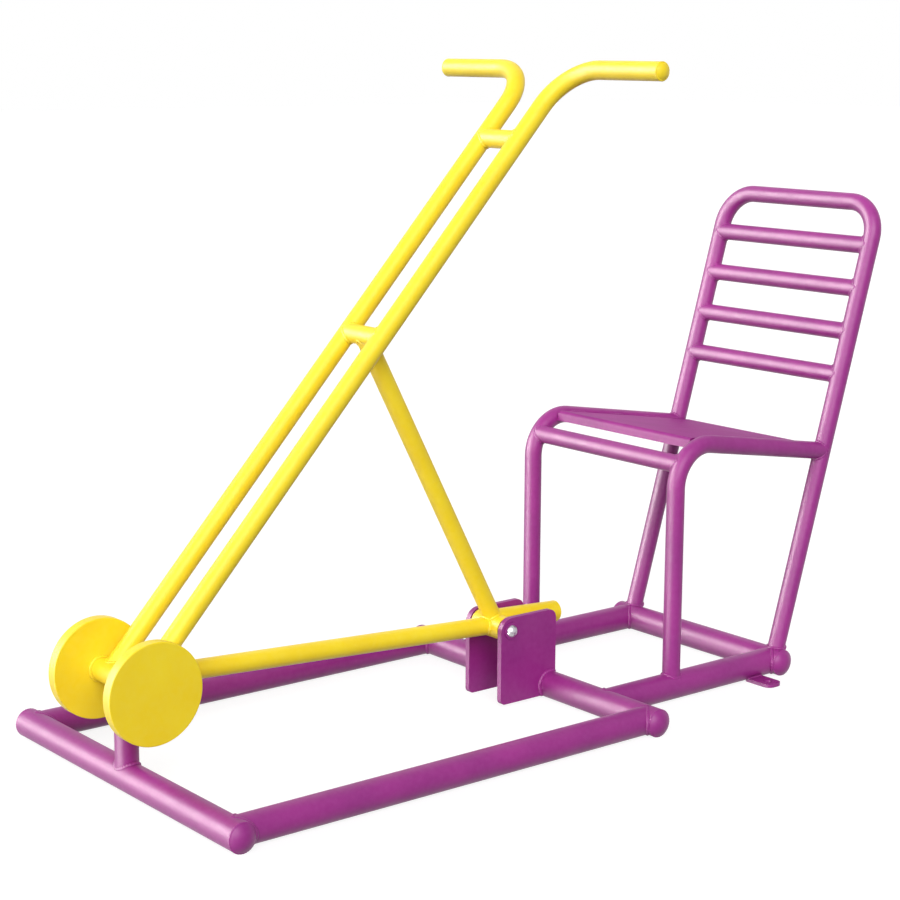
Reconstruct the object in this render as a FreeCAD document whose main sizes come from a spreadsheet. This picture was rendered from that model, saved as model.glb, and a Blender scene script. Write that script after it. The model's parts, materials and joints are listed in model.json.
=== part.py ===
import FreeCAD, Part
import Sketcher
import math
import os
from collections import namedtuple
from types import SimpleNamespace

# Outdoor seated pull station.
#
# A welded tube base carries a fixed chair and, between two bracket plates, a lever that
# pivots on a bolt. Pulling the handles towards the chair lifts two weight discs at the
# front end; a rubber buffer on a post stops the lever's fall, and its tail stops on the
# middle crossbar.
#
# Frame: millimetres, +Z up, +X from the weights to the chair, origin on the ground midway
# between the two anchor holes. The sitter faces -X, so their left side is -Y.

SIZES = {
    # Tube stock and welded joints
    "base_od": 48.3,
    "base_wall": 3.2,
    "slim_od": 32.0,
    "slim_wall": 2.5,
    "post_od": 38.0,
    "post_wall": 2.6,
    "weld_gap": 0.2,
    "base_cap_height": 12.0,
    "lever_cap_height": 7.0,
    "cap_wall": 3.0,
    # Base frame: rails along X stand between crossbars along Y
    "rail_half_spacing": 300.0,
    "seat_half_spacing": 190.0,
    "middle_spacing": 832.0,
    "rear_spacing": 425.0,
    "crossbar_overhang": 2.0,
    # Anchor tabs beside the seat rails
    "anchor_ahead": 61.0,
    "anchor_out": 49.0,
    "tab_length": 38.0,
    "tab_reach": 69.0,
    "tab_tuck": 12.0,
    "tab_sheet": 6.0,
    "tab_hole": 14.0,
    "tab_corner": 14.0,
    # Stop post with its push-in rubber buffer
    "buffer_height": 12.0,
    "buffer_stem": 20.0,
    "stem_gap": 0.2,
    "rest_gap": 0.3,
    # Bracket plates on the middle crossbar
    "plate_sheet": 10.0,
    "plate_gap": 78.0,
    "plate_width": 127.0,
    "plate_height": 155.5,
    "plate_ahead": 114.0,
    "plate_clearance": 6.0,
    "plate_front_corner": 25.0,
    "plate_rear_corner": 16.0,
    "plate_low_corner": 10.0,
    # Lever pivot: shoulder bolt, spacers and two sealed ball bearings in the hub
    "pivot_ahead": 91.4,
    "pivot_height": 138.4,
    "pin_diameter": 15.0,
    "pin_gap": 0.03,
    "hole_gap": 0.25,
    "head_diameter": 22.0,
    "head_height": 8.0,
    "washer_od": 30.0,
    "washer_sheet": 2.5,
    "stud_diameter": 12.0,
    "stud_length": 12.0,
    "stud_gap": 0.1,
    "nut_flats": 19.0,
    "nut_height": 10.0,
    "nut_dome": 8.0,
    "nut_rim": 1.0,
    "bearing_od": 35.0,
    "bearing_width": 11.0,
    "bearing_inset": 0.5,
    "seat_gap": 0.02,
    "ring_gap": 3.5,
    "ball_diameter": 6.0,
    "ball_gap": 0.05,
    "seal_sheet": 1.0,
    "seal_inset": 0.3,
    "seal_lip_gap": 0.3,
    "hub_wall": 3.7,
    "hub_length": 72.0,
    "spacer_od": 21.0,
    # Lever: arms, handles, ties, brace, lower bar, axle and weight discs
    "axle_height": 179.6,
    "arm_tilt": 42.75,
    "arm_half_spacing": 46.0,
    "arm_length": 1257.5,
    "handle_bend": 80.0,
    "handle_reach": 281.0,
    "lower_tie_drop": 580.5,
    "upper_tie_drop": 157.5,
    "brace_setback": 5.5,
    "tail_length": 150.0,
    "tail_rise": 9.0,
    "disc_od": 163.0,
    "disc_thickness": 20.0,
    "disc_gap": 13.0,
    "disc_edge": 2.0,
    # Chair: legs bent into seat side tubes, a front bar and a folded sheet between them
    "leg_setback": 163.0,
    "leg_straight": 358.0,
    "seat_bend": 72.0,
    "seat_tilt": 9.0,
    "front_bar_angle": 35.3,
    "panel_sheet": 4.0,
    "panel_rise": 5.5,
    "panel_lead": 35.0,
    "panel_drop": 17.0,
    "panel_fold": 6.0,
    # Chair back: one hoop of tube with four cross tubes
    "upright_setback": 6.0,
    "back_tilt": 16.4,
    "back_length": 869.0,
    "back_bend": 65.0,
    "top_slat_at": 789.0,
    "slat_pitch": 82.1,
}
SLATS = 4
BALLS = 7
EDGE_MATCH = 0.001

doc = FreeCAD.newDocument("SeatedPullStation")
sheet = doc.addObject("Spreadsheet::Sheet", "Sizes")
for row, (name, value) in enumerate(SIZES.items(), 1):
    sheet.set(f"A{row}", str(value))
    sheet.setAlias(f"A{row}", name)
doc.recompute()

# Each size as the expression that reads it from the sheet.
S = SimpleNamespace(**{name: f"Sizes.{name}" for name in SIZES})

# Turns that lay a piece's own Z axis along the named direction.
UPRIGHT = "rotation(vector(0; 0; 1); 0)"
ALONG_X = "rotation(vector(0; 1; 0); 90)"
ALONG_Y = "rotation(vector(1; 0; 0); -90)"
AGAINST_Y = "rotation(vector(1; 0; 0); 90)"

Bar = namedtuple("Bar", "radius wall length placement")
pieces = {}


def place(x, y, z, turn=UPRIGHT):
    return f"placement(vector({x}; {y}; {z}); {turn})"


def leaning(angle):
    """Turn that leans the Z axis by an angle towards +X."""
    return f"rotation(vector(0; 1; 0); {angle})"


def number(expression):
    return float(sheet.evalExpression(expression))


def make(kind, name, **expressions):
    thing = doc.addObject(kind, name)
    for target, expression in expressions.items():
        thing.setExpression(target, expression)
    return thing


def cylinder(name, radius, length, placement):
    return make("Part::Cylinder", name, Radius=radius, Height=length, Placement=placement)


def sphere(name, radius, placement):
    return make("Part::Sphere", name, Radius=radius, Placement=placement)


def torus(name, ring_radius, section_radius, placement):
    return make("Part::Torus", name, Radius1=ring_radius, Radius2=section_radius, Placement=placement)


def cut(base, tool):
    result = doc.addObject("Part::Cut", f"{base.Name}_cut")
    result.Base = base
    result.Tool = tool
    return result


def common(base, tool):
    result = doc.addObject("Part::Common", f"{base.Name}_common")
    result.Base = base
    result.Tool = tool
    return result


def fuse(*shapes):
    result = doc.addObject("Part::MultiFuse", f"{shapes[0].Name}_fuse")
    result.Shapes = list(shapes)
    return result


def group(*shapes):
    result = doc.addObject("Part::Compound", f"{shapes[0].Name}_group")
    result.Links = list(shapes)
    return result


def piece(label, thing, solids=1):
    thing.Label = label
    pieces[label] = (thing, solids)


def envelope(bar):
    """Solid round bar that a welded tube's end is shaped to, with the weld's gap."""
    return cylinder("envelope", f"{bar.radius} + {S.weld_gap}", bar.length, bar.placement)


def tube(label, bar, tools=()):
    """Straight round tube, shaped at its ends by the given tools."""
    shape = cut(
        cylinder(f"{label}_outside", bar.radius, bar.length, bar.placement),
        cylinder(f"{label}_bore", f"{bar.radius} - {bar.wall}", bar.length, bar.placement),
    )
    for tool in tools:
        shape = cut(shape, tool)
    piece(label, shape)


def sleeve(name, outer_radius, inner_radius, length, placement):
    return cut(
        cylinder(f"{name}_outside", outer_radius, length, placement),
        cylinder(f"{name}_bore", inner_radius, length, placement),
    )


def dome(name, radius, height, x, y, z, turn):
    """Solid spherical dome with its flat side at the given point."""
    ball_radius = f"(({radius})^2 + ({height})^2) / (2 * ({height}))"
    foot = place(x, y, z, turn)
    centre = f"{foot} * placement(vector(0; 0; {height} - {ball_radius}); {UPRIGHT})"
    return common(cylinder(f"{name}_rim", radius, height, foot), sphere(f"{name}_ball", ball_radius, centre))


def end_cap(label, radius, height, x, y, z, turn):
    """Hollow domed cap welded on a tube's end."""
    outside = dome(f"{label}_outside", radius, height, x, y, z, turn)
    inside = dome(
        f"{label}_inside", f"({radius} - {S.cap_wall})", f"({height} - {S.cap_wall})", x, y, z, turn
    )
    piece(label, cut(outside, inside))


def origin_plane(body, role):
    return next(plane for plane in body.Origin.OriginFeatures if plane.Role == role)


def sketch_on(body, role, name):
    sketch = body.newObject("Sketcher::SketchObject", name)
    sketch.AttachmentSupport = (origin_plane(body, role), [""])
    sketch.MapMode = "FlatFace"
    return sketch


def constrain(sketch, name, expression, *constraint):
    index = sketch.addConstraint(Sketcher.Constraint(*constraint))
    sketch.renameConstraint(index, name)
    sketch.setExpression(f"Constraints.{name}", expression)


def bent_path(body, runs, headings, radius):
    """Straight runs from the origin joined by right-hand bends, in the body's XZ plane."""
    sketch = sketch_on(body, "XZ_Plane", "Path")
    bend = number(radius)
    point = FreeCAD.Vector(0, 0, 0)
    last_arc = None
    for index, (run, heading) in enumerate(zip(runs, headings)):
        angle = math.radians(number(heading))
        end = point + FreeCAD.Vector(math.cos(angle), math.sin(angle), 0) * number(run)
        line = sketch.addGeometry(Part.LineSegment(point, end))
        if last_arc is None:
            sketch.addConstraint(Sketcher.Constraint("Coincident", line, 1, -1, 1))
        else:
            sketch.addConstraint(Sketcher.Constraint("Tangent", last_arc, 1, line, 1))
        constrain(sketch, f"heading_{index}", heading, "Angle", line, angle)
        constrain(sketch, f"run_{index}", run, "Distance", line, number(run))
        if index + 1 == len(runs):
            break
        next_angle = math.radians(number(headings[index + 1]))
        centre = end + FreeCAD.Vector(math.sin(angle), -math.cos(angle), 0) * bend
        circle = Part.Circle(centre, FreeCAD.Vector(0, 0, 1), bend)
        quarter = math.pi / 2
        arc = Part.ArcOfCircle(circle, next_angle + quarter, angle + quarter)
        last_arc = sketch.addGeometry(arc)
        sketch.addConstraint(Sketcher.Constraint("Tangent", line, 2, last_arc, 2))
        constrain(sketch, f"bend_{index}", radius, "Radius", last_arc, bend)
        point = centre + FreeCAD.Vector(-math.sin(next_angle), math.cos(next_angle), 0) * bend
    return sketch


def ring_profile(body, radius, wall):
    sketch = sketch_on(body, "XY_Plane", "Section")
    for name, expression in (("outside", radius), ("bore", f"{radius} - {wall}")):
        size = number(expression)
        circle = Part.Circle(FreeCAD.Vector(0, 0, 0), FreeCAD.Vector(0, 0, 1), size)
        index = sketch.addGeometry(circle)
        sketch.addConstraint(Sketcher.Constraint("Coincident", index, 3, -1, 1))
        constrain(sketch, name, expression, "Radius", index, size)
    return sketch


def strip_profile(body, thickness, width):
    """Rectangle centred on the origin, its thickness along the body's X axis."""
    sketch = sketch_on(body, "XY_Plane", "Section")
    across = number(thickness) / 2
    along = number(width) / 2
    corners = [
        FreeCAD.Vector(x, y, 0)
        for x, y in ((-across, -along), (across, -along), (across, along), (-across, along))
    ]
    sides = [
        sketch.addGeometry(Part.LineSegment(corners[side], corners[(side + 1) % 4])) for side in range(4)
    ]
    for side in range(4):
        sketch.addConstraint(Sketcher.Constraint("Coincident", sides[side], 2, sides[(side + 1) % 4], 1))
        direction = "Horizontal" if side % 2 == 0 else "Vertical"
        sketch.addConstraint(Sketcher.Constraint(direction, sides[side]))
    sketch.addConstraint(Sketcher.Constraint("Symmetric", sides[0], 1, sides[2], 1, -1, 1))
    constrain(sketch, "thickness", thickness, "Distance", sides[0], 2 * across)
    constrain(sketch, "width", width, "Distance", sides[1], 2 * along)
    return sketch


def swept(name, profile, path, placement):
    """Sweep a section along a bent path inside one body."""
    body = make("PartDesign::Body", name, Placement=placement)
    section = profile(body)
    spine = path(body)
    doc.recompute()
    pipe = body.newObject("PartDesign::AdditivePipe", "Sweep")
    pipe.Profile = section
    pipe.Spine = spine
    doc.recompute()
    return body


def bent_tube(label, radius, wall, runs, headings, bend, placement, tools=()):
    shape = swept(
        f"{label}_bent",
        lambda body: ring_profile(body, radius, wall),
        lambda body: bent_path(body, runs, headings, bend),
        placement,
    )
    for tool in tools:
        shape = cut(shape, tool)
    piece(label, shape)


def corner_edges(plate, axis, **places):
    """Names of a plate's edges that run along one axis and stand at the given places."""
    names = []
    for index, edge in enumerate(plate.Shape.Edges, 1):
        start, end = (vertex.Point for vertex in edge.Vertexes)
        along = math.isclose(edge.Length, abs(getattr(end - start, axis)), abs_tol=EDGE_MATCH)
        there = (math.isclose(getattr(start, name), at, abs_tol=EDGE_MATCH) for name, at in places.items())
        if along and all(there):
            names.append(f"Edge{index}")
    return names


# Tube radii and the heights and places that follow from the sizes
base_radius = f"({S.base_od} / 2)"
slim_radius = f"({S.slim_od} / 2)"
post_radius = f"({S.post_od} / 2)"
base_z = base_radius
rear_x = S.anchor_ahead
middle_x = f"({rear_x} - {S.rear_spacing})"
front_x = f"({middle_x} - {S.middle_spacing})"
pivot_x = f"({middle_x} - {S.pivot_ahead})"
pivot_z = S.pivot_height
leg_x = f"({middle_x} + {S.leg_setback})"
upright_x = f"({rear_x} + {S.upright_setback})"
SIDES = (("left", "-1"), ("right", "1"))
OUTWARD = {"left": AGAINST_Y, "right": ALONG_Y}


def straight(radius, wall, start, end, across="0", height=base_z):
    """Bar along X between two stations."""
    return Bar(radius, wall, f"({end}) - ({start})", place(start, across, height, ALONG_X))


def crossing(radius, wall, left, right, x, height=base_z):
    """Bar along Y from a left end to a right end."""
    return Bar(radius, wall, f"({right}) - ({left})", place(x, left, height, ALONG_Y))


# Base frame bars: each crossbar's place and the half spacing of the rails it overhangs
CROSSBARS = {
    "front": (front_x, S.rail_half_spacing),
    "middle": (middle_x, S.rail_half_spacing),
    "rear": (rear_x, S.seat_half_spacing),
}


def crossbar_reach(half_spacing):
    return f"({half_spacing} + {base_radius} + {S.crossbar_overhang})"


crossbars = {
    name: crossing(base_radius, S.base_wall, f"-{crossbar_reach(half)}", crossbar_reach(half), x)
    for name, (x, half) in CROSSBARS.items()
}
side_rails = {
    side: straight(base_radius, S.base_wall, front_x, middle_x, f"({sign} * {S.rail_half_spacing})")
    for side, sign in SIDES
}
seat_rails = {
    side: straight(base_radius, S.base_wall, middle_x, rear_x, f"({sign} * {S.seat_half_spacing})")
    for side, sign in SIDES
}


def base_frame():
    """Ground frame: crossbars with domed ends, and the rails welded between them."""
    for name, (x, half) in CROSSBARS.items():
        tube(f"{name}_crossbar", crossbars[name])
        for side, sign in SIDES:
            end_cap(
                f"{name}_crossbar_{side}_cap",
                base_radius,
                S.base_cap_height,
                x,
                f"{sign} * {crossbar_reach(half)}",
                base_z,
                OUTWARD[side],
            )
    for side, _ in SIDES:
        side_ends = [envelope(crossbars["front"]), envelope(crossbars["middle"])]
        tube(f"{side}_side_rail", side_rails[side], side_ends)
        seat_ends = [envelope(crossbars["middle"]), envelope(crossbars["rear"])]
        tube(f"{side}_seat_rail", seat_rails[side], seat_ends)


def anchor_tabs():
    """Flat tabs with one bolt hole each, tucked against the seat rails at ground level."""
    for side, sign in SIDES:
        body = make("PartDesign::Body", f"{side}_tab_plate")
        plate = body.newObject("PartDesign::AdditiveBox", "Plate")
        width = f"({S.tab_reach} - {S.tab_tuck})"
        plate.setExpression("Length", S.tab_length)
        plate.setExpression("Width", width)
        plate.setExpression("Height", S.tab_sheet)
        inner = f"{sign} * ({S.seat_half_spacing} + {S.tab_tuck} + {width} / 2) - {width} / 2"
        plate.setExpression("Placement", place(f"-{S.tab_length} / 2", inner, "0"))
        doc.recompute()
        outer_y = number(f"{sign} * ({S.seat_half_spacing} + {S.tab_reach})")
        corners = body.newObject("PartDesign::Fillet", "Corners")
        corners.Base = (plate, corner_edges(plate, "z", y=outer_y))
        corners.setExpression("Radius", S.tab_corner)
        hole = body.newObject("PartDesign::SubtractiveCylinder", "Hole")
        hole.setExpression("Radius", f"{S.tab_hole} / 2")
        hole.setExpression("Height", S.tab_sheet)
        hole.setExpression(
            "Placement", place("0", f"{sign} * ({S.seat_half_spacing} + {S.anchor_out})", "0")
        )
        doc.recompute()
        piece(f"{side}_anchor_tab", cut(body, envelope(seat_rails[side])))


def bracket_plates():
    """Two upright plates that straddle the lever and nest over the middle crossbar."""
    for side, sign in SIDES:
        body = make("PartDesign::Body", f"{side}_bracket_blank")
        plate = body.newObject("PartDesign::AdditiveBox", "Plate")
        plate.setExpression("Length", S.plate_width)
        plate.setExpression("Width", S.plate_sheet)
        plate.setExpression("Height", S.plate_height)
        front = f"{middle_x} - {S.plate_ahead}"
        inner = f"{sign} * ({S.plate_gap} + {S.plate_sheet}) / 2 - {S.plate_sheet} / 2"
        plate.setExpression("Placement", place(front, inner, S.plate_clearance))
        doc.recompute()
        front_edge = number(front)
        rear_edge = number(f"{front} + {S.plate_width}")
        bottom_edge = number(S.plate_clearance)
        top_edge = number(f"{S.plate_clearance} + {S.plate_height}")
        base = plate
        for name, x, z, radius in (
            ("TopFront", front_edge, top_edge, S.plate_front_corner),
            ("TopRear", rear_edge, top_edge, S.plate_rear_corner),
            ("BottomFront", front_edge, bottom_edge, S.plate_low_corner),
        ):
            corner = body.newObject("PartDesign::Fillet", name)
            corner.Base = (base, corner_edges(base, "y", x=x, z=z))
            corner.setExpression("Radius", radius)
            doc.recompute()
            base = corner
        hole = body.newObject("PartDesign::SubtractiveCylinder", "PivotHole")
        hole.setExpression("Radius", f"{S.pin_diameter} / 2 + {S.hole_gap}")
        hole.setExpression("Height", S.plate_sheet)
        hole.setExpression("Placement", place(pivot_x, inner, pivot_z, ALONG_Y))
        doc.recompute()
        piece(f"{side}_bracket_plate", cut(body, envelope(crossbars["middle"])))


# Lever geometry: the axle, the arms' line, the ties and the bars that meet in the hub
axle_z = S.axle_height
hub_radius = f"({S.bearing_od} / 2 + {S.seat_gap} + {S.hub_wall})"
disc_face = f"({S.arm_half_spacing} + {slim_radius} + {S.disc_gap})"
axle = crossing(post_radius, S.post_wall, f"-{disc_face}", disc_face, front_x, axle_z)
arm_lines = {
    side: Bar(
        slim_radius,
        S.slim_wall,
        S.arm_length,
        place(front_x, f"({sign} * {S.arm_half_spacing})", axle_z, leaning(S.arm_tilt)),
    )
    for side, sign in SIDES
}


def tie_below(drop):
    """Tube across the arms at a distance down them from the handles' line."""
    x = f"({front_x} + ({S.arm_length} - {drop}) * sin({S.arm_tilt}))"
    z = f"({axle_z} + ({S.arm_length} - {drop}) * cos({S.arm_tilt}))"
    half = S.arm_half_spacing
    return x, z, crossing(slim_radius, S.slim_wall, f"-{half}", half, x, z)


tie_x, tie_z, lower_tie = tie_below(S.lower_tie_drop)
_, _, upper_tie = tie_below(S.upper_tie_drop)
hub = crossing(hub_radius, S.hub_wall, f"-{S.hub_length} / 2", f"{S.hub_length} / 2", pivot_x, pivot_z)
brace_x = f"({pivot_x} + {S.brace_setback})"
brace = Bar(
    slim_radius,
    S.slim_wall,
    f"hypot({tie_x} - {brace_x}; {tie_z} - {pivot_z})",
    place(brace_x, "0", pivot_z, leaning(f"atan2({tie_x} - {brace_x}; {tie_z} - {pivot_z})")),
)
bar_lean = f"atan2({pivot_x} - {front_x}; {pivot_z} - {axle_z})"
lower_bar = Bar(
    slim_radius,
    S.slim_wall,
    f"hypot({pivot_x} - {front_x}; {pivot_z} - {axle_z})",
    place(front_x, "0", axle_z, leaning(bar_lean)),
)
tail_end = f"({S.tail_length} - {S.lever_cap_height})"
tail_z = f"({pivot_z} + {S.tail_rise})"
tail = Bar(post_radius, S.post_wall, tail_end, place(pivot_x, "0", tail_z, leaning(bar_lean)))


def lever_tubes():
    """Arms with outward handles, ties, brace, lower bar and tail, welded round axle and hub."""
    grip = f"{S.handle_reach} - {S.lever_cap_height} - {S.arm_half_spacing} - {S.handle_bend}"
    handle_x = f"({front_x} + {S.arm_length} * sin({S.arm_tilt}))"
    handle_z = f"({axle_z} + {S.arm_length} * cos({S.arm_tilt}))"
    handle_end = f"({S.handle_reach} - {S.lever_cap_height})"
    for side, sign in SIDES:
        outward = f"{leaning(S.arm_tilt)} * rotation(vector(0; 0; 1); {sign} * 90)"
        bent_tube(
            f"{side}_lever_arm",
            slim_radius,
            S.slim_wall,
            [f"{S.arm_length} - {S.handle_bend}", grip],
            ["90", "0"],
            S.handle_bend,
            place(front_x, f"{sign} * {S.arm_half_spacing}", axle_z, outward),
            [envelope(axle)],
        )
        end_cap(
            f"{side}_handle_cap",
            slim_radius,
            S.lever_cap_height,
            handle_x,
            f"{sign} * {handle_end}",
            handle_z,
            OUTWARD[side],
        )
    for label, tie in (("lower_arm_tie", lower_tie), ("upper_arm_tie", upper_tie)):
        tube(label, tie, [envelope(arm_lines[side]) for side, _ in SIDES])
    tube("lower_bar", lower_bar, [envelope(axle), envelope(hub)])
    tube("lower_bar_tail", tail, [envelope(hub), envelope(brace)])
    end_cap(
        "lower_bar_tail_cap",
        post_radius,
        S.lever_cap_height,
        f"({pivot_x} + {tail_end} * sin({bar_lean}))",
        "0",
        f"({tail_z} + {tail_end} * cos({bar_lean}))",
        leaning(bar_lean),
    )
    tube("lever_brace", brace, [envelope(hub), envelope(lower_bar), envelope(lower_tie)])
    tube("axle_tube", axle)
    tube("pivot_hub", hub)


def weight_discs():
    """Solid round plates with softened rims, one on each end of the axle."""
    for side, sign in SIDES:
        placement = place(front_x, f"{sign} * {disc_face}", axle_z, OUTWARD[side])
        body = make("PartDesign::Body", f"{side}_disc", Placement=placement)
        plate = body.newObject("PartDesign::AdditiveCylinder", "Plate")
        plate.setExpression("Radius", f"{S.disc_od} / 2")
        plate.setExpression("Height", S.disc_thickness)
        doc.recompute()
        rims = [
            f"Edge{index}"
            for index, edge in enumerate(plate.Shape.Edges, 1)
            if isinstance(edge.Curve, Part.Circle)
        ]
        rim = body.newObject("PartDesign::Fillet", "Rims")
        rim.Base = (plate, rims)
        rim.setExpression("Radius", S.disc_edge)
        doc.recompute()
        piece(f"{side}_weight_disc", body)


def stop():
    """Post on the front crossbar whose buffer takes the lever's weight at rest."""
    buffer_top = f"({axle_z} - {post_radius} - {S.rest_gap})"
    post_top = f"({buffer_top} - {S.buffer_height})"
    post = Bar(post_radius, S.post_wall, f"{post_top} - {base_z}", place(front_x, "0", base_z))
    tube("stop_post", post, [envelope(crossbars["front"])])
    pad = cylinder("buffer_pad", post_radius, S.buffer_height, place(front_x, "0", post_top))
    stem = cylinder(
        "buffer_stem",
        f"{post_radius} - {S.post_wall} - {S.stem_gap}",
        S.buffer_stem,
        place(front_x, "0", f"{post_top} - {S.buffer_stem}"),
    )
    piece("stop_buffer", fuse(pad, stem))


def pivot():
    """Shoulder bolt through the plates, with spacers and a sealed bearing at each hub end."""
    pin_radius = f"({S.pin_diameter} / 2)"
    on_pin = f"({pin_radius} + {S.pin_gap})"
    plate_face = f"({S.plate_gap} / 2 + {S.plate_sheet})"
    shoulder = f"({plate_face} + {S.washer_sheet})"

    def at(y, turn=ALONG_Y):
        return place(pivot_x, y, pivot_z, turn)

    shank = cylinder("bolt_shank", pin_radius, f"2 * {shoulder}", at(f"-{shoulder}"))
    stud = cylinder("bolt_stud", f"{S.stud_diameter} / 2", S.stud_length, at(shoulder))
    head = dome(
        "bolt_head", f"({S.head_diameter} / 2)", S.head_height, pivot_x, f"-{shoulder}", pivot_z, AGAINST_Y
    )
    piece("pivot_bolt", fuse(head, shank, stud))

    washers = [
        sleeve(
            "washer", f"{S.washer_od} / 2", f"{pin_radius} + {S.hole_gap}", S.washer_sheet, at(inner)
        )
        for inner in (f"-{shoulder}", plate_face)
    ]
    piece("pivot_washers", group(*washers), solids=2)

    hexagon = make(
        "Part::Prism",
        "nut_hexagon",
        Circumradius=f"{S.nut_flats} / 2 / cos(30)",
        Height=S.nut_height,
        Placement=at(shoulder),
    )
    crown = dome(
        "nut_crown",
        f"({S.nut_flats} / 2 - {S.nut_rim})",
        S.nut_dome,
        pivot_x,
        f"({shoulder} + {S.nut_height})",
        pivot_z,
        ALONG_Y,
    )
    thread = cylinder(
        "nut_thread",
        f"{S.stud_diameter} / 2 + {S.stud_gap}",
        f"{S.stud_length} + {S.stud_gap}",
        at(shoulder),
    )
    piece("pivot_nut", cut(fuse(hexagon, crown), thread))

    bearing_inner = f"({S.hub_length} / 2 - {S.bearing_inset} - {S.bearing_width})"
    bearing_outer = f"({S.hub_length} / 2 - {S.bearing_inset})"
    pitch = f"(({pin_radius} + {S.bearing_od} / 2) / 2)"
    inner_shoulder = f"({pitch} - {S.ring_gap} / 2)"
    outer_shoulder = f"({pitch} + {S.ring_gap} / 2)"
    groove = f"({S.ball_diameter} / 2 + {S.ball_gap})"
    piece(
        "bearing_distance_sleeve",
        sleeve("distance", f"{S.spacer_od} / 2", on_pin, f"2 * {bearing_inner}", at(f"-{bearing_inner}")),
    )
    for side, sign in SIDES:
        start = bearing_inner if side == "right" else f"-{bearing_outer}"
        middle = f"({start} + {S.bearing_width} / 2)"
        spacer_start = bearing_outer if side == "right" else f"-{S.plate_gap} / 2"
        spacer_length = f"{S.plate_gap} / 2 - {bearing_outer}"
        piece(
            f"{side}_pivot_spacer",
            sleeve("spacer", f"{S.spacer_od} / 2", on_pin, spacer_length, at(spacer_start)),
        )
        inner_ring = sleeve("inner_ring", inner_shoulder, on_pin, S.bearing_width, at(start))
        piece(f"{side}_bearing_inner_ring", cut(inner_ring, torus("groove", pitch, groove, at(middle))))
        outer_ring = sleeve(
            "outer_ring", f"{S.bearing_od} / 2", outer_shoulder, S.bearing_width, at(start)
        )
        piece(f"{side}_bearing_outer_ring", cut(outer_ring, torus("groove", pitch, groove, at(middle))))
        balls = [
            sphere(
                "ball",
                f"{S.ball_diameter} / 2",
                place(
                    f"{pivot_x} + {pitch} * cos({360 * ball / BALLS})",
                    middle,
                    f"{pivot_z} + {pitch} * sin({360 * ball / BALLS})",
                ),
            )
            for ball in range(BALLS)
        ]
        piece(f"{side}_bearing_balls", group(*balls), solids=BALLS)
        seals = [
            sleeve(
                "seal",
                f"{outer_shoulder} - {S.seat_gap}",
                f"{inner_shoulder} + {S.seal_lip_gap}",
                S.seal_sheet,
                at(seal_start),
            )
            for seal_start in (
                f"{start} + {S.seal_inset}",
                f"{start} + {S.bearing_width} - {S.seal_inset} - {S.seal_sheet}",
            )
        ]
        piece(f"{side}_bearing_seals", group(*seals), solids=2)


# Chair geometry: the bend over each front leg and the reclined uprights
bend_x = f"({leg_x} + {S.seat_bend})"
bend_z = f"({base_z} + {S.leg_straight})"
uprights = {
    side: Bar(
        slim_radius,
        S.slim_wall,
        S.back_length,
        place(upright_x, f"({sign} * {S.seat_half_spacing})", base_z, leaning(S.back_tilt)),
    )
    for side, sign in SIDES
}


def seat():
    """Legs bent back into the seat's side tubes, the front bar and the sheet seat between."""
    run_x = f"({bend_x} + {S.seat_bend} * sin({S.seat_tilt}))"
    run_z = f"({bend_z} + {S.seat_bend} * cos({S.seat_tilt}))"
    back_slope = f"tan({S.back_tilt})"
    to_upright = (
        f"({upright_x} - {run_x} + {back_slope} * ({run_z} - {base_z}))"
        f" / (cos({S.seat_tilt}) + {back_slope} * sin({S.seat_tilt}))"
    )
    bends = {}
    for side, sign in SIDES:
        across = f"{sign} * {S.seat_half_spacing}"
        bent_tube(
            f"{side}_seat_frame_tube",
            slim_radius,
            S.slim_wall,
            [S.leg_straight, to_upright],
            ["90", f"-{S.seat_tilt}"],
            S.seat_bend,
            place(leg_x, across, base_z),
            [envelope(seat_rails[side]), envelope(uprights[side])],
        )
        bends[side] = torus(
            "bend_envelope",
            S.seat_bend,
            f"{slim_radius} + {S.weld_gap}",
            place(bend_x, across, bend_z, ALONG_Y),
        )
    front = crossing(
        slim_radius,
        S.slim_wall,
        f"-{S.seat_half_spacing}",
        S.seat_half_spacing,
        f"({bend_x} - {S.seat_bend} * cos({S.front_bar_angle}))",
        f"({bend_z} + {S.seat_bend} * sin({S.front_bar_angle}))",
    )
    tube("seat_front_bar", front, [bends[side] for side, _ in SIDES])

    lip_rise = f"({S.panel_rise} - {S.panel_drop})"
    panel_width = f"2 * ({S.seat_half_spacing} - {slim_radius} - {S.weld_gap})"
    panel_run = f"{S.panel_lead} - {S.panel_fold} + {to_upright} + {slim_radius}"
    panel = swept(
        "seat_sheet",
        lambda body: strip_profile(body, S.panel_sheet, panel_width),
        lambda body: bent_path(
            body, [f"{S.panel_drop} - {S.panel_fold}", panel_run], ["90", "0"], S.panel_fold
        ),
        place(
            f"{run_x} - {S.panel_lead} * cos({S.seat_tilt}) + {lip_rise} * sin({S.seat_tilt})",
            "0",
            f"{run_z} + {S.panel_lead} * sin({S.seat_tilt}) + {lip_rise} * cos({S.seat_tilt})",
            leaning(S.seat_tilt),
        ),
    )
    piece("seat_panel", panel)


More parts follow.
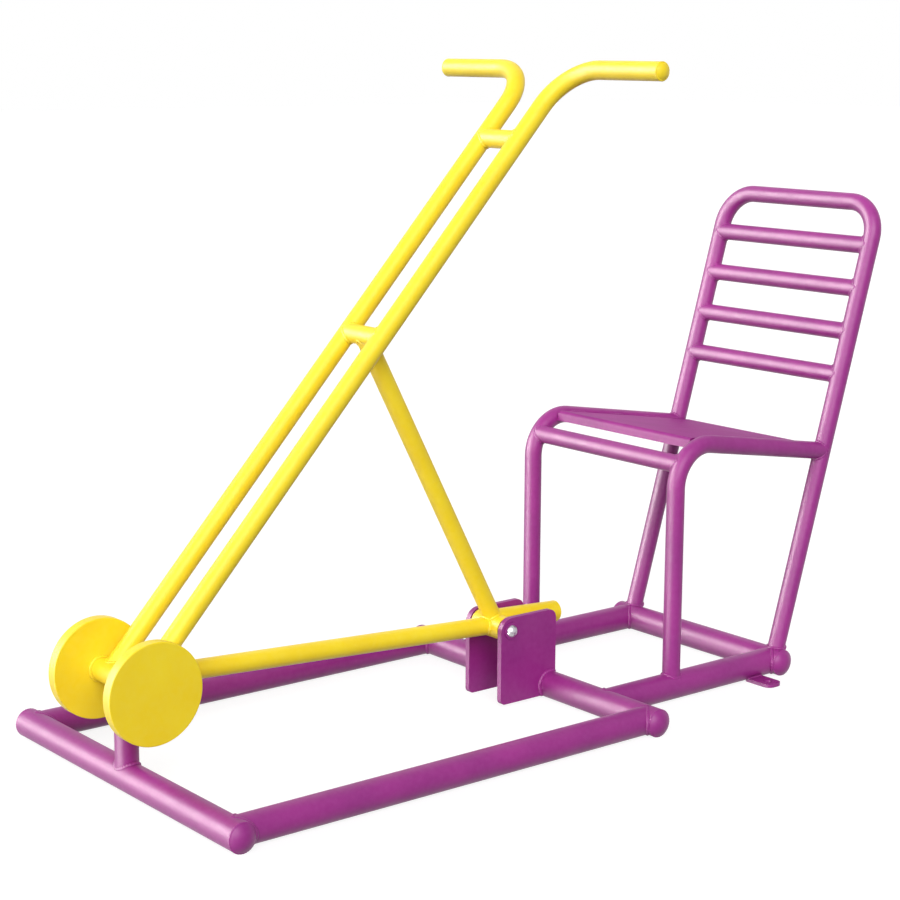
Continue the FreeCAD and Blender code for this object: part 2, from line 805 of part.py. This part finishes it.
def backrest():
    """Reclined hoop standing on the rear crossbar, with cross tubes between its uprights."""
    across = f"{leaning(S.back_tilt)} * rotation(vector(0; 0; 1); 90)"
    rise = f"{S.back_length} - {S.back_bend}"
    bent_tube(
        "backrest_frame",
        slim_radius,
        S.slim_wall,
        [rise, f"2 * ({S.seat_half_spacing} - {S.back_bend})", rise],
        ["90", "0", "-90"],
        S.back_bend,
        place(upright_x, f"-{S.seat_half_spacing}", base_z, across),
        [envelope(crossbars["rear"])] + [envelope(seat_rails[side]) for side, _ in SIDES],
    )
    for slat in range(SLATS):
        along = f"({S.top_slat_at} - {slat} * {S.slat_pitch})"
        bar = crossing(
            slim_radius,
            S.slim_wall,
            f"-{S.seat_half_spacing}",
            S.seat_half_spacing,
            f"({upright_x} + {along} * sin({S.back_tilt}))",
            f"({base_z} + {along} * cos({S.back_tilt}))",
        )
        tube(f"backrest_slat_{slat + 1}", bar, [envelope(uprights[side]) for side, _ in SIDES])


def write_parts():
    """Check every object, then write one file per piece."""
    doc.recompute()
    for thing in doc.Objects:
        if {"Invalid", "Error"} & set(thing.State):
            raise RuntimeError(f"{thing.Label} failed: {thing.State}")
    for label, (thing, solids) in pieces.items():
        shape = thing.Shape
        if shape.isNull() or not shape.isValid() or len(shape.Solids) != solids:
            raise RuntimeError(f"{label} is not {solids} valid solid(s)")
    os.makedirs("parts", exist_ok=True)
    for label, (thing, _) in pieces.items():
        thing.Shape.exportStep(f"parts/{label}.step")
    print(f"{len(pieces)} pieces written")


base_frame()
anchor_tabs()
bracket_plates()
stop()
pivot()
lever_tubes()
weight_discs()
seat()
backrest()
write_parts()
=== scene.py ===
import json
import math
from collections import namedtuple

import bpy
from mathutils import Matrix, Vector


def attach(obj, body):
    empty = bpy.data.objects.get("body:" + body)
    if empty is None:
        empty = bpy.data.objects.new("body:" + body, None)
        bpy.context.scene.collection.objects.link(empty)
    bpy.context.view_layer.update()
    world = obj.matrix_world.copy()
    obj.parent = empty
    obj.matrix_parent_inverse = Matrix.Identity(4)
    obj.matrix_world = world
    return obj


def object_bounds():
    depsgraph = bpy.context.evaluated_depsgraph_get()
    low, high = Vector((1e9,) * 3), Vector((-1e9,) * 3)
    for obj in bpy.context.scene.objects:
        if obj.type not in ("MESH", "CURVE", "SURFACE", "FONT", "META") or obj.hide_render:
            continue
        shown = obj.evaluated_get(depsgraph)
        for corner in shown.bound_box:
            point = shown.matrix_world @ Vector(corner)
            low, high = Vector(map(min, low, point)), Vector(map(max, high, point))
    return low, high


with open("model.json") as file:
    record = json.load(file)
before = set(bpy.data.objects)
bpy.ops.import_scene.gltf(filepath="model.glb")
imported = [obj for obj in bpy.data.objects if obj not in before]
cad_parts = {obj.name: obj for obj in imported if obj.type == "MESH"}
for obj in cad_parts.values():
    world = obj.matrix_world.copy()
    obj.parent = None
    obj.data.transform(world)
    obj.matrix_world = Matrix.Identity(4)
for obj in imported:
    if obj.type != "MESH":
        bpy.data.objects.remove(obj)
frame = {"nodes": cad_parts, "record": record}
cad_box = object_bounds()

# Axes and radii of the tubes, in metres, as the solids have them
BASE_R, SLIM_R, POST_R, HUB_R = 0.02415, 0.016, 0.019, 0.02122
FRONT_X, MIDDLE_X, REAR_X = -1.196, -0.364, 0.061
RAIL_Y, SEAT_Y, ARM_Y = 0.300, 0.190, 0.046
RAIL_REACH, SEAT_REACH = 0.32615, 0.21615
AXLE = Vector((FRONT_X, 0, 0.1796))
PIVOT = Vector((-0.4554, 0, 0.1384))
DISC_Y = 0.075
ARM_TILT, BACK_TILT, SEAT_TILT = (math.radians(angle) for angle in (42.75, 16.4, 9.0))
LOWER_TIE, UPPER_TIE = 0.677, 1.100
HANDLE_AT, HANDLE_END = 1.2575, 0.274
BRACE_SETBACK = 0.0055
TAIL_END, TAIL_RISE = 0.143, 0.009
LEG_X, BEND_R, BEND_Z = -0.201, 0.072, 0.38215
FRONT_BAR_ANGLE = math.radians(35.3)
PANEL_TOP, PANEL_HALF = 0.0075, 0.1738
UPRIGHT_X = 0.067
TOP_SLAT, SLAT_PITCH, SLAT_COUNT = 0.789, 0.0821, 4
PLATE_INNER, PLATE_OUTER = 0.039, 0.049
PLATE_BOTTOM, PLATE_BACK = 0.006, -0.351
TAB_HALF, TAB_TOP = 0.019, 0.006

UP, SIDEWAYS, AHEAD = Vector((0, 0, 1)), Vector((0, 1, 0)), Vector((1, 0, 0))
SIGNS = (-1, 1)

Tube = namedtuple("Tube", "point along radius")
Bend = namedtuple("Bend", "centre axis ring radius")
Seam = namedtuple("Seam", "points first second closed")
Bead = namedtuple("Bead", "size proud")

# Points round a seam, steps along an open one, and steps of the search for a seam
TURNS, ARC_STEPS, LINE_STEPS = 96, 60, 20
MARCHES, SLOPE_STEP = 120, 1e-5


def leaning(tilt):
    """Direction that leans back from upright."""
    return Vector((math.sin(tilt), 0, math.cos(tilt)))


def clearance(thing, point):
    """Distance of a point from the outside of a tube or a bend."""
    if isinstance(thing, Bend):
        away = point - thing.centre
        height = away.dot(thing.axis)
        flat = (away - thing.axis * height).length - thing.ring
        return math.hypot(flat, height) - thing.radius
    away = point - thing.point
    return (away - thing.along * away.dot(thing.along)).length - thing.radius


def nearest(things, point):
    return min(clearance(thing, point) for thing in things)


def outward(things, point):
    """Direction away from the things' surface at a point on it."""
    slope = [nearest(things, point + axis * SLOPE_STEP) - nearest(things, point - axis * SLOPE_STEP)
             for axis in (AHEAD, SIDEWAYS, UP)]
    return Vector(slope).normalized()


def radials(axis):
    """Directions all round an axis."""
    across = axis.orthogonal().normalized()
    aside = axis.cross(across)
    angles = [math.tau * index / TURNS for index in range(TURNS)]
    return [across * math.cos(angle) + aside * math.sin(angle) for angle in angles]


def saddle(tube, things):
    """Seam where a tube, followed along its axis, first meets other things."""
    points, first, second = [], [], []
    for radial in radials(tube.along):
        point = tube.point + radial * tube.radius
        for _ in range(MARCHES):
            point = point + tube.along * nearest(things, point)
        points.append(point)
        first.append(radial)
        second.append(outward(things, point))
    return Seam(points, first, second, True)


def ring(centre, axis, radius, face=None):
    """Seam round a tube: against a flat face, or flush where two tubes meet end to end."""
    first = radials(axis)
    points = [centre + radial * radius for radial in first]
    second = first if face is None else [face] * len(first)
    return Seam(points, first, second, True)


def arc_on_crossbar(face_y, side):
    """Seam where a bracket plate's face meets the middle crossbar."""
    start = math.acos((PLATE_BACK - MIDDLE_X) / BASE_R)
    end = math.pi + math.asin((BASE_R - PLATE_BOTTOM) / BASE_R)
    angles = [start + (end - start) * index / ARC_STEPS for index in range(ARC_STEPS + 1)]
    around = [Vector((math.cos(angle), 0, math.sin(angle))) for angle in angles]
    centre = Vector((MIDDLE_X, face_y, BASE_R))
    points = [centre + radial * BASE_R for radial in around]
    return Seam(points, [SIDEWAYS * side] * len(points), around, False)


def line(start, end, first, second):
    """Straight seam between two surfaces that face two given ways."""
    points = [start.lerp(end, index / LINE_STEPS) for index in range(LINE_STEPS + 1)]
    return Seam(points, [first] * len(points), [second] * len(points), False)


# Weld beads: sides of the section, ripples along the bead, and the sizes of its last steps
BEAD_SIDES = 10
RIPPLE = (0.93, 1.0, 1.07, 1.0)
RIPPLE_STEP, LEAST_RIPPLES = 0.0011, 4
TAPER = (0.3, 0.62, 0.84, 0.96)


def resampled(seam):
    """The seam at even steps, a whole number of ripples long."""
    values = list(zip(seam.points, seam.first, seam.second))
    if seam.closed:
        values.append(values[0])
    lengths = [0.0]
    for before, after in zip(values, values[1:]):
        lengths.append(lengths[-1] + (after[0] - before[0]).length)
    ripples = max(LEAST_RIPPLES, round(lengths[-1] / RIPPLE_STEP / len(RIPPLE)))
    count = len(RIPPLE) * ripples
    stations = count if seam.closed else count + 1
    result, segment = [], 0
    for index in range(stations):
        at = lengths[-1] * index / count
        while segment + 2 < len(lengths) and lengths[segment + 1] < at:
            segment += 1
        span = lengths[segment + 1] - lengths[segment]
        share = (at - lengths[segment]) / span if span > 0 else 0.0
        result.append([a.lerp(b, share) for a, b in zip(values[segment], values[segment + 1])])
    return result


def inside_box(point):
    """The point, or the nearest one to it within the whole object's box."""
    return Vector(min(max(value, low), high) for value, low, high in zip(point, *cad_box))


def add_bead(vertices, faces, seam, bead):
    """Weld bead along a seam; where the two surfaces run flush it stands only slightly proud."""
    stations = resampled(seam)
    count = len(stations)
    base = len(vertices)
    for index, (point, first, second) in enumerate(stations):
        radius = bead.size * RIPPLE[index % len(RIPPLE)]
        if seam.closed:
            before, after = stations[index - 1][0], stations[(index + 1) % count][0]
        else:
            before, after = stations[max(index - 1, 0)][0], stations[min(index + 1, count - 1)][0]
            from_end = min(index, count - 1 - index)
            if from_end < len(TAPER):
                radius *= TAPER[from_end]
        heading = (after - before).normalized()
        outer = first + second
        outer = (outer - heading * outer.dot(heading)).normalized()
        aside = heading.cross(outer)
        flush = max(0.0, first.normalized().dot(second.normalized()))
        centre = point - outer * (bead.size - bead.proud) * flush
        for side in range(BEAD_SIDES):
            angle = math.tau * side / BEAD_SIDES
            away = outer * math.cos(angle) + aside * math.sin(angle)
            vertices.append(inside_box(centre + away * radius))
    rows = count if seam.closed else count - 1
    for row in range(rows):
        here, there = base + row * BEAD_SIDES, base + (row + 1) % count * BEAD_SIDES
        for side in range(BEAD_SIDES):
            beside = (side + 1) % BEAD_SIDES
            faces.append((here + side, here + beside, there + beside, there + side))
    if not seam.closed:
        last = base + (count - 1) * BEAD_SIDES
        faces.append(tuple(base + side for side in reversed(range(BEAD_SIDES))))
        faces.append(tuple(last + side for side in range(BEAD_SIDES)))


def welds(name, body, slot, beads):
    """One piece that holds the weld beads of a group of joints."""
    vertices, faces = [], []
    for seam, bead in beads:
        add_bead(vertices, faces, seam, bead)
    mesh = bpy.data.meshes.new(name)
    mesh.from_pydata(vertices, [], faces)
    mesh.polygons.foreach_set("use_smooth", [True] * len(mesh.polygons))
    piece = bpy.data.objects.new(name, mesh)
    bpy.context.scene.collection.objects.link(piece)
    mesh.materials.append(finishes[slot])
    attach(piece, body)


# Materials
def add(tree, kind, inputs=(), **settings):
    """New node with values on its inputs, by name or number, and settings of its own."""
    node = tree.nodes.new(kind)
    for name, value in settings.items():
        setattr(node, name, value)
    for name, value in dict(inputs).items():
        node.inputs[name].default_value = value
    return node


def start_material(name):
    material = bpy.data.materials.new(name)
    material.use_nodes = True
    tree = material.node_tree
    shader = next(node for node in tree.nodes if node.type == "BSDF_PRINCIPLED")
    place = add(tree, "ShaderNodeTexCoord").outputs["Object"]
    return material, tree, shader, place


def spread(tree, value, source, target):
    """A value moved from one range into another, and kept within it."""
    node = add(tree, "ShaderNodeMapRange", {"From Min": source[0], "From Max": source[1],
                                            "To Min": target[0], "To Max": target[1]})
    tree.links.new(value, node.inputs["Value"])
    return node.outputs["Result"]


NOISE_RANGE = (0.3, 0.7)
OCCLUDED_RANGE, CREVICE_REACH, CREVICE_SAMPLES = (0.75, 0.25), 0.012, 6
UPWARD_RANGE = (0.5, 0.95)


def noise(tree, place, scale, detail, low=0.0, high=1.0):
    """Noise over the object's own space, spread between two values."""
    texture = add(tree, "ShaderNodeTexNoise", {"Scale": scale, "Detail": detail})
    tree.links.new(place, texture.inputs["Vector"])
    return spread(tree, texture.outputs["Fac"], NOISE_RANGE, (low, high))


def crevice(tree):
    """Occlusion mask for painted shade: 0 in the open, 1 deep in a corner."""
    hidden = add(tree, "ShaderNodeAmbientOcclusion", {"Distance": CREVICE_REACH},
                 samples=CREVICE_SAMPLES)
    return spread(tree, hidden.outputs["AO"], OCCLUDED_RANGE, (0.0, 1.0))


def upward(tree, low, high):
    """One value on upright faces, another on faces that look up."""
    geometry = add(tree, "ShaderNodeNewGeometry")
    parts = add(tree, "ShaderNodeSeparateXYZ")
    tree.links.new(geometry.outputs["Normal"], parts.inputs["Vector"])
    return spread(tree, parts.outputs["Z"], UPWARD_RANGE, (low, high))


def mixed(tree, share, first, second):
    """Colour mixed by a share; each colour is a socket or a plain colour."""
    node = add(tree, "ShaderNodeMix", data_type="RGBA")
    tree.links.new(share, node.inputs[0])
    for socket, colour in ((node.inputs[6], first), (node.inputs[7], second)):
        if isinstance(colour, tuple):
            socket.default_value = (*colour, 1)
        else:
            tree.links.new(colour, socket)
    return node.outputs[2]


def bumped(tree, shader, height, strength, depth):
    bump = add(tree, "ShaderNodeBump", {"Strength": strength, "Distance": depth})
    tree.links.new(height, bump.inputs["Height"])
    tree.links.new(bump.outputs["Normal"], shader.inputs["Normal"])


# Share of painted shade deep in a corner, and its colour as a share of the paint's deeper one
CORNER_SHADE_SHARE, CORNER_SHADE_TONE = 0.45, 0.35
# Colour of the duller patches on steel as a share of the bright one, and their roughness above it
DULL_TONE, DULL_ROUGHNESS = 0.72, 0.14


def paint(name, gloss, colours, rubbed=False):
    """Powder coat with faint clouding, a soft orange peel and painted shade darkening its corners.

    Paint that is rubbed by use is duller where it faces up.
    """
    colour, deep, pale = colours
    material, tree, shader, place = start_material(name)
    cloud = mixed(tree, noise(tree, place, scale=9.0, detail=3.0), deep, colour)
    mottle = mixed(tree, noise(tree, place, scale=110.0, detail=4.0, high=0.10), cloud, pale)
    # Painted shade: ambient occlusion darkens the colour in corners and where parts meet
    shade_share = add(tree, "ShaderNodeMath", {1: CORNER_SHADE_SHARE}, operation="MULTIPLY")
    tree.links.new(crevice(tree), shade_share.inputs[0])
    corner_shade = tuple(CORNER_SHADE_TONE * channel for channel in deep)
    tree.links.new(mixed(tree, shade_share.outputs["Value"], mottle, corner_shade), shader.inputs["Base Color"])
    if rubbed:
        roughness = upward(tree, low=0.40, high=0.62)
    else:
        roughness = noise(tree, place, scale=28.0, detail=3.0, low=0.38, high=0.48)
    tree.links.new(roughness, shader.inputs["Roughness"])
    peel = noise(tree, place, scale=240.0, detail=2.0)
    bumped(tree, shader, peel, strength=0.05, depth=0.0004)
    shader.inputs["Specular IOR Level"].default_value = gloss
    return material


def steel(name, colour, roughness):
    """Bright plated or ground steel with fine turning marks."""
    material, tree, shader, place = start_material(name)
    dull = tuple(DULL_TONE * channel for channel in colour)
    patches = noise(tree, place, scale=160.0, detail=4.0)
    tree.links.new(mixed(tree, patches, colour, dull), shader.inputs["Base Color"])
    sheen = noise(tree, place, scale=300.0, detail=3.0, low=roughness, high=roughness + DULL_ROUGHNESS)
    tree.links.new(sheen, shader.inputs["Roughness"])
    marks = add(tree, "ShaderNodeTexWave", {"Scale": 700.0, "Distortion": 1.5}, bands_direction="Y")
    tree.links.new(place, marks.inputs["Vector"])
    bumped(tree, shader, marks.outputs["Fac"], strength=0.08, depth=0.0002)
    shader.inputs["Metallic"].default_value = 1.0
    return material


def rubber(name, colour, bloom):
    """Matt moulded rubber with a fine grain and a greyish bloom."""
    material, tree, shader, place = start_material(name)
    patches = noise(tree, place, scale=60.0, detail=4.0)
    tree.links.new(mixed(tree, patches, colour, bloom), shader.inputs["Base Color"])
    sheen = noise(tree, place, scale=90.0, detail=3.0, low=0.62, high=0.82)
    tree.links.new(sheen, shader.inputs["Roughness"])
    grain = noise(tree, place, scale=900.0, detail=2.0)
    bumped(tree, shader, grain, strength=0.25, depth=0.0004)
    return material


# Each paint's usual, deeper and paler colour
PURPLE = (0.31, 0.018, 0.222), (0.255, 0.013, 0.19), (0.48, 0.10, 0.375)
YELLOW = (0.94, 0.72, 0.018), (0.90, 0.64, 0.010), (0.96, 0.84, 0.18)
PURPLE_GLOSS, YELLOW_GLOSS, SEAT_GLOSS = 0.45, 0.36, 0.15
finishes = {
    "purple_paint": paint("purple_powder_coat", PURPLE_GLOSS, PURPLE),
    "yellow_paint": paint("yellow_powder_coat", YELLOW_GLOSS, YELLOW),
    "zinc": steel("zinc_plate", (0.62, 0.62, 0.64), roughness=0.24),
    "bearing_steel": steel("ground_steel", (0.52, 0.52, 0.54), roughness=0.16),
    "black_rubber": rubber("moulded_rubber", (0.012, 0.012, 0.013), (0.03, 0.029, 0.028)),
}
seat_finish = paint("purple_rubbed_seat", SEAT_GLOSS, PURPLE, rubbed=True)
for part in frame["record"]["subparts"]:
    seat = part["node"] == "seat_panel"
    for holder in frame["nodes"][part["node"]].material_slots:
        holder.material = seat_finish if seat else finishes[part["material_slot"]]


# Beads of each kind of joint, and where the search for a seam starts: a height, or a way along the tube
HEAVY, LIGHT = Bead(0.0042, 0.0012), Bead(0.0030, 0.0010)
STITCH, CAP = Bead(0.0022, 0.0010), Bead(0.0022, 0.00025)
POST_START_Z, LEG_START_Z = 0.12, 0.2
FOOT_START, ARM_START, TAIL_START = 0.2, 0.1, 0.1
STITCHES, STITCH_LENGTH = (-0.005, 0.095, 0.195), 0.04
base_beads, plate_beads, chair_beads, lever_beads = [], [], [], []

# Joint lines of the base frame
crossbars = {x: Tube(Vector((x, 0, BASE_R)), SIDEWAYS, BASE_R) for x in (FRONT_X, MIDDLE_X, REAR_X)}
tab_chord = math.sqrt(BASE_R ** 2 - (BASE_R - TAB_TOP) ** 2)
for sign in SIGNS:
    for across, first_x, last_x in ((RAIL_Y, FRONT_X, MIDDLE_X), (SEAT_Y, MIDDLE_X, REAR_X)):
        middle = Vector(((first_x + last_x) / 2, sign * across, BASE_R))
        for x, heading in ((first_x, -AHEAD), (last_x, AHEAD)):
            base_beads.append((saddle(Tube(middle, heading, BASE_R), [crossbars[x]]), HEAVY))
    for x, reach in ((FRONT_X, RAIL_REACH), (MIDDLE_X, RAIL_REACH), (REAR_X, SEAT_REACH)):
        base_beads.append((ring(Vector((x, sign * reach, BASE_R)), SIDEWAYS, BASE_R), CAP))
    corner = Vector((0, sign * (SEAT_Y + tab_chord), TAB_TOP))
    along_tab = AHEAD * TAB_HALF
    rail_side = Vector((0, sign * tab_chord, TAB_TOP - BASE_R)).normalized()
    base_beads.append((line(corner - along_tab, corner + along_tab, UP, rail_side), LIGHT))
    for face, side in ((PLATE_INNER, -sign), (PLATE_OUTER, sign)):
        plate_beads.append((arc_on_crossbar(sign * face, side), HEAVY))
post = Tube(Vector((FRONT_X, 0, POST_START_Z)), -UP, POST_R)
base_beads.append((saddle(post, [crossbars[FRONT_X]]), HEAVY))

# Joint lines of the chair
seat_along = Vector((math.cos(SEAT_TILT), 0, -math.sin(SEAT_TILT)))
seat_up = Vector((math.sin(SEAT_TILT), 0, math.cos(SEAT_TILT)))
bend_x = LEG_X + BEND_R
front_bar_x = bend_x - BEND_R * math.cos(FRONT_BAR_ANGLE)
front_bar_z = BEND_Z + BEND_R * math.sin(FRONT_BAR_ANGLE)
panel_inset = math.sqrt(SLIM_R ** 2 - PANEL_TOP ** 2)
for sign in SIGNS:
    y = sign * SEAT_Y
    seat_rail = Tube(Vector((0, y, BASE_R)), AHEAD, BASE_R)
    upright = Tube(Vector((UPRIGHT_X, y, BASE_R)), leaning(BACK_TILT), SLIM_R)
    bend = Bend(Vector((bend_x, y, BEND_Z)), SIDEWAYS, BEND_R, SLIM_R)
    run_start = bend.centre + seat_up * BEND_R
    leg = Tube(Vector((LEG_X, y, LEG_START_Z)), -UP, SLIM_R)
    foot = Tube(upright.point + upright.along * FOOT_START, -upright.along, SLIM_R)
    front_bar = Tube(Vector((front_bar_x, 0, front_bar_z)), SIDEWAYS * sign, SLIM_R)
    chair_beads += [
        (saddle(leg, [seat_rail]), LIGHT),
        (saddle(Tube(run_start, seat_along, SLIM_R), [upright]), LIGHT),
        (saddle(foot, [seat_rail, crossbars[REAR_X]]), LIGHT),
        (saddle(front_bar, [bend]), LIGHT),
    ]
    for index in range(SLAT_COUNT):
        slat_at = TOP_SLAT - SLAT_PITCH * index
        middle = upright.point + upright.along * slat_at - SIDEWAYS * y
        chair_beads.append((saddle(Tube(middle, SIDEWAYS * sign, SLIM_R), [upright]), LIGHT))
    tube_side = (seat_up * PANEL_TOP - SIDEWAYS * sign * panel_inset).normalized()
    panel_edge = run_start + tube_side * SLIM_R
    panel_edge.y = (panel_edge.y + sign * PANEL_HALF) / 2
    for stitch in STITCHES:
        start = panel_edge + seat_along * stitch
        end = start + seat_along * STITCH_LENGTH
        chair_beads.append((line(start, end, seat_up, tube_side), STITCH))

# Joint lines of the lever
axle = Tube(AXLE, SIDEWAYS, POST_R)
hub = Tube(PIVOT, SIDEWAYS, HUB_R)
bar_along = (PIVOT - AXLE).normalized()
bar_middle = AXLE.lerp(PIVOT, 0.5)
lower_bar = Tube(AXLE, bar_along, SLIM_R)
arm_along = leaning(ARM_TILT)
tie = Tube(AXLE + arm_along * LOWER_TIE, SIDEWAYS, SLIM_R)
brace_foot = PIVOT + AHEAD * BRACE_SETBACK
brace_middle = brace_foot.lerp(tie.point, 0.5)
brace_along = (tie.point - brace_foot).normalized()
brace = Tube(brace_foot, brace_along, SLIM_R)
tail_foot = PIVOT + UP * TAIL_RISE
tail = Tube(tail_foot + bar_along * TAIL_START, -bar_along, POST_R)
lever_beads += [
    (saddle(Tube(bar_middle, -bar_along, SLIM_R), [axle]), LIGHT),
    (saddle(Tube(bar_middle, bar_along, SLIM_R), [hub]), LIGHT),
    (saddle(tail, [hub, brace]), LIGHT),
    (saddle(Tube(brace_middle, brace_along, SLIM_R), [tie]), LIGHT),
    (saddle(Tube(brace_middle, -brace_along, SLIM_R), [hub, lower_bar]), LIGHT),
    (ring(tail_foot + bar_along * TAIL_END, bar_along, POST_R), CAP),
]
for sign in SIGNS:
    arm = Tube(AXLE + SIDEWAYS * sign * ARM_Y, arm_along, SLIM_R)
    arm_end = Tube(arm.point + arm_along * ARM_START, -arm_along, SLIM_R)
    lever_beads.append((saddle(arm_end, [axle]), LIGHT))
    for along in (LOWER_TIE, UPPER_TIE):
        middle = AXLE + arm_along * along
        lever_beads.append((saddle(Tube(middle, SIDEWAYS * sign, SLIM_R), [arm]), LIGHT))
    tip = AXLE + arm_along * HANDLE_AT + SIDEWAYS * sign * HANDLE_END
    lever_beads.append((ring(tip, SIDEWAYS, SLIM_R), CAP))
    disc_side = AXLE + SIDEWAYS * sign * DISC_Y
    lever_beads.append((ring(disc_side, SIDEWAYS, POST_R, SIDEWAYS * -sign), LIGHT))

welds("base_welds", "frame", "purple_paint", base_beads)
welds("plate_welds", "frame", "purple_paint", plate_beads)
welds("chair_welds", "frame", "purple_paint", chair_beads)
welds("lever_welds", "lever", "yellow_paint", lever_beads)


# White floor and surroundings
def seen_directly(tree):
    """1 for rays from the camera or off glossy or clear surfaces, 0 for light that falls on things."""
    path = add(tree, "ShaderNodeLightPath")
    either = add(tree, "ShaderNodeMath", operation="MAXIMUM")
    any_of = add(tree, "ShaderNodeMath", operation="MAXIMUM")
    tree.links.new(path.outputs["Is Camera Ray"], either.inputs[0])
    tree.links.new(path.outputs["Is Glossy Ray"], either.inputs[1])
    tree.links.new(either.outputs["Value"], any_of.inputs[0])
    tree.links.new(path.outputs["Is Transmission Ray"], any_of.inputs[1])
    return any_of.outputs["Value"]


def switched(tree, share, first, second):
    """The first shader where the share is 0, the second where it is 1."""
    mix = add(tree, "ShaderNodeMixShader")
    tree.links.new(share, mix.inputs[0])
    tree.links.new(first, mix.inputs[1])
    tree.links.new(second, mix.inputs[2])
    return mix.outputs["Shader"]


def grey(level):
    return (level, level, level, 1)


WHITE = grey(1)
AMBIENT = 0.22
world = bpy.data.worlds.new("studio")
bpy.context.scene.world = world
world.use_nodes = True
tree = world.node_tree
tree.nodes.clear()
soft = add(tree, "ShaderNodeBackground", {"Color": WHITE, "Strength": AMBIENT})
white = add(tree, "ShaderNodeBackground", {"Color": WHITE, "Strength": 1.0})
surface = switched(tree, seen_directly(tree), soft.outputs["Background"], white.outputs["Background"])
tree.links.new(surface, add(tree, "ShaderNodeOutputWorld").inputs["Surface"])

# As seen, the floor glows nearly white, and lamp light adds the rest where no shadow lies
FLOOR_HALF, FLOOR_BELOW = 30.0, 0.0003
FLOOR_BOUNCE, FLOOR_LIT, FLOOR_GLOW = 0.15, 0.24, 0.84
mesh = bpy.data.meshes.new("floor")
corners = [(x * FLOOR_HALF, y * FLOOR_HALF, -FLOOR_BELOW)
           for x, y in ((-1, -1), (1, -1), (1, 1), (-1, 1))]
mesh.from_pydata(corners, [], [(0, 1, 2, 3)])
floor = bpy.data.objects.new("floor", mesh)
bpy.context.scene.collection.objects.link(floor)
material = bpy.data.materials.new("white_floor")
material.use_nodes = True
tree = material.node_tree
tree.nodes.clear()
bounce = add(tree, "ShaderNodeBsdfDiffuse", {"Color": grey(FLOOR_BOUNCE)})
lamplit = add(tree, "ShaderNodeBsdfDiffuse", {"Color": grey(FLOOR_LIT)})
glow = add(tree, "ShaderNodeEmission", {"Color": WHITE, "Strength": FLOOR_GLOW})
both = add(tree, "ShaderNodeAddShader")
tree.links.new(lamplit.outputs["BSDF"], both.inputs[0])
tree.links.new(glow.outputs["Emission"], both.inputs[1])
surface = switched(tree, seen_directly(tree), bounce.outputs["BSDF"], both.outputs["Shader"])
tree.links.new(surface, add(tree, "ShaderNodeOutputMaterial").inputs["Surface"])
mesh.materials.append(material)
floor.visible_shadow = False

# Soft light from the left, the front and weakly from the rear, with wide boxes that only show as shine.
# The lowest box shines up from below the floor, which casts no shadow.
Lamp = namedtuple("Lamp", "name towards energy angle lit")
SHINE_TINT = (1.0, 0.93, 0.92)
LAMPS = (
    Lamp("left_rear", (-0.64, 0.74, 0.30), 0.9, 40.0, "all"),
    Lamp("left", (-0.95, 0.15, 0.12), 1.45, 40.0, "all"),
    Lamp("front", (-0.50, -0.68, 0.52), 2.85, 50.0, "all"),
    Lamp("rear", (0.62, 0.66, 0.42), 1.6, 60.0, "diffuse"),
    Lamp("left_rear_box", (-0.80, 0.56, 0.27), 8.0, 50.0, "gloss"),
    Lamp("left_box", (-0.98, -0.10, 0.15), 1.6, 60.0, "gloss"),
    Lamp("left_low_box", (-0.93, 0.20, -0.34), 4.5, 50.0, "gloss"),
)
for lamp in LAMPS:
    light = bpy.data.lights.new(lamp.name, "SUN")
    light.energy = lamp.energy
    light.angle = math.radians(lamp.angle)
    holder = bpy.data.objects.new(lamp.name, light)
    holder.rotation_euler = Vector(lamp.towards).to_track_quat("Z", "Y").to_euler()
    holder.visible_diffuse = lamp.lit != "gloss"
    holder.visible_glossy = lamp.lit != "diffuse"
    if lamp.lit == "gloss":
        light.color = SHINE_TINT
        light.cycles.use_multiple_importance_sampling = False
    bpy.context.scene.collection.objects.link(holder)

# Camera at the photograph's angle
CAMERA_AT = Vector((-2.71467, -2.68726, 1.14050))
YAW, PITCH, ROLL = (math.radians(angle) for angle in (-38.78, 11.09, 0.30))
LENS, SENSOR = 82.35, 36.0
back = Vector((math.sin(YAW) * math.cos(PITCH), -math.cos(YAW) * math.cos(PITCH), math.sin(PITCH)))
right = Vector((math.cos(YAW), math.sin(YAW), 0))
up = back.cross(right)
rolled_right = right * math.cos(ROLL) + up * math.sin(ROLL)
rolled_up = up * math.cos(ROLL) - right * math.sin(ROLL)
turn = Matrix((rolled_right, rolled_up, back)).transposed().to_4x4()
lens = bpy.data.cameras.new("photo_view")
lens.lens = LENS
lens.sensor_width = SENSOR
camera = bpy.data.objects.new("photo_view", lens)
camera.matrix_world = Matrix.Translation(CAMERA_AT) @ turn
bpy.context.scene.collection.objects.link(camera)
bpy.context.scene.camera = camera
bpy.context.scene.view_settings.view_transform = "Standard"
